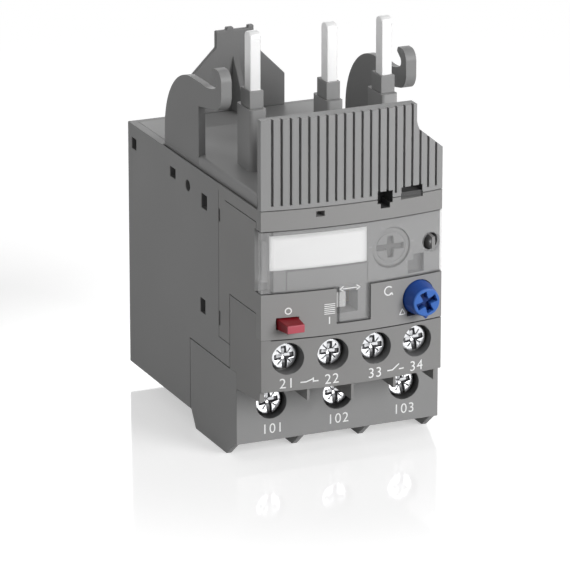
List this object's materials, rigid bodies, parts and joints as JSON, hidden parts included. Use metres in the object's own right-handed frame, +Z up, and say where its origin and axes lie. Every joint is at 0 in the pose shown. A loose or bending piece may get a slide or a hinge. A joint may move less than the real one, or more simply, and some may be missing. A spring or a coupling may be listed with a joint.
{
  "type": "thermal overload relay",
  "caption": "Three-pole thermal overload relay with plug-in blades, ribbed hood, clear cover over the setting dial, stop button, reset knob and screw terminals",
  "frame": {"origin": "middle of the outline at the level of the lowest wire separators", "axes": "+Z up towards the contactor, +X to the right seen from the front, +Y to the back"},
  "size_m": [0.045, 0.0754, 0.0875],
  "materials": {
    "housing_grey": "matte",
    "front_grey": "matte",
    "clear": "clear",
    "label_white": "matte",
    "dial_grey": "matte",
    "slider_grey": "matte",
    "red": "satin",
    "blue": "satin",
    "tin": "tin plated",
    "zinc": "zinc plated",
    "copper_alloy": "bare",
    "bimetal": "bare",
    "winding": "bare",
    "spring": "bare",
    "inner_plastic": "matte"
  },
  "bodies": {
    "housing": {"rear_housing": "housing_grey", "main_block": "housing_grey", "front_housing": "front_grey", "aux_block": "front_grey", "hood": "front_grey", "top_deck": "housing_grey", "hook_left": "housing_grey", "hook_right": "housing_grey", "rear_shield": "housing_grey", "sleeve_left": "housing_grey", "sleeve_middle": "housing_grey", "sleeve_right": "housing_grey", "blade_left": "tin", "blade_middle": "tin", "blade_right": "tin", "bimetal_left": "bimetal", "bimetal_middle": "bimetal", "bimetal_right": "bimetal", "heater_left": "winding", "heater_middle": "winding", "heater_right": "winding", "load_bar_left": "copper_alloy", "load_bar_middle": "copper_alloy", "load_bar_right": "copper_alloy", "main_clamps": "zinc", "main_screws": "zinc", "aux_clamps": "zinc", "aux_screws": "zinc", "aux_strip_1": "copper_alloy", "aux_strip_2": "copper_alloy", "aux_strip_3": "copper_alloy", "aux_strip_4": "copper_alloy", "label_plate": "label_white", "lever_pins": "zinc", "stop_spring": "spring", "reset_spring": "spring"},
    "cover": {"clear_cover": "clear"},
    "dial": {"dial": "dial_grey", "dial_cam": "inner_plastic"},
    "test": {"test_slider": "slider_grey"},
    "stop": {"stop_button": "red"},
    "reset_plunger": {"reset_plunger": "inner_plastic"},
    "reset_knob": {"reset_knob": "blue"},
    "trip_bar": {"trip_bar": "inner_plastic"},
    "trip_lever": {"trip_lever": "inner_plastic"},
    "contact_lever": {"contact_lever": "inner_plastic"}
  },
  "joints": [
    {"name": "cover_hinge", "type": "hinge", "parent": "housing", "child": "cover", "pos_m": [-0.02155, -0.03088, 0.0458], "axis": [0, 0, 1], "range_deg": [-110, 0]},
    {"name": "dial_turn", "type": "hinge", "parent": "housing", "child": "dial", "pos_m": [0.0057, -0.03223, 0.04582], "axis": [0, 1, 0], "range_deg": [-135, 135]},
    {"name": "test_slide", "type": "slide", "parent": "housing", "child": "test", "axis": [1, 0, 0], "range_m": [0, 0.0023], "stiffness_N_per_m": 150},
    {"name": "stop_push", "type": "slide", "parent": "housing", "child": "stop", "axis": [0, 1, 0], "range_m": [0, 0.002], "stiffness_N_per_m": 400, "deforming": ["stop_spring"]},
    {"name": "reset_push", "type": "slide", "parent": "housing", "child": "reset_plunger", "axis": [0, 1, 0], "range_m": [0, 0.002], "stiffness_N_per_m": 400, "deforming": ["reset_spring"]},
    {"name": "reset_turn", "type": "hinge", "parent": "reset_plunger", "child": "reset_knob", "pos_m": [0.0116, -0.03223, 0.03475], "axis": [0, 1, 0], "range_deg": [0, 90]},
    {"name": "trip_slide", "type": "slide", "parent": "housing", "child": "trip_bar", "axis": [1, 0, 0], "range_m": [0, 0.0015], "stiffness_N_per_m": 100},
    {"name": "trip_turn", "type": "hinge", "parent": "housing", "child": "trip_lever", "pos_m": [0.0126, -0.01623, 0.034], "axis": [0, 0, 1], "range_deg": [-2.95, 0]},
    {"name": "contact_turn", "type": "hinge", "parent": "housing", "child": "contact_lever", "pos_m": [-0.0045, -0.01403, 0.034], "axis": [0, 0, 1], "range_deg": [0, 4.4]}
  ],
  "couplings": [
    {"joint": "trip_turn", "follows": "trip_slide", "rad_per_m": -33.3},
    {"joint": "contact_turn", "follows": "trip_slide", "rad_per_m": 50.5}
  ]
}
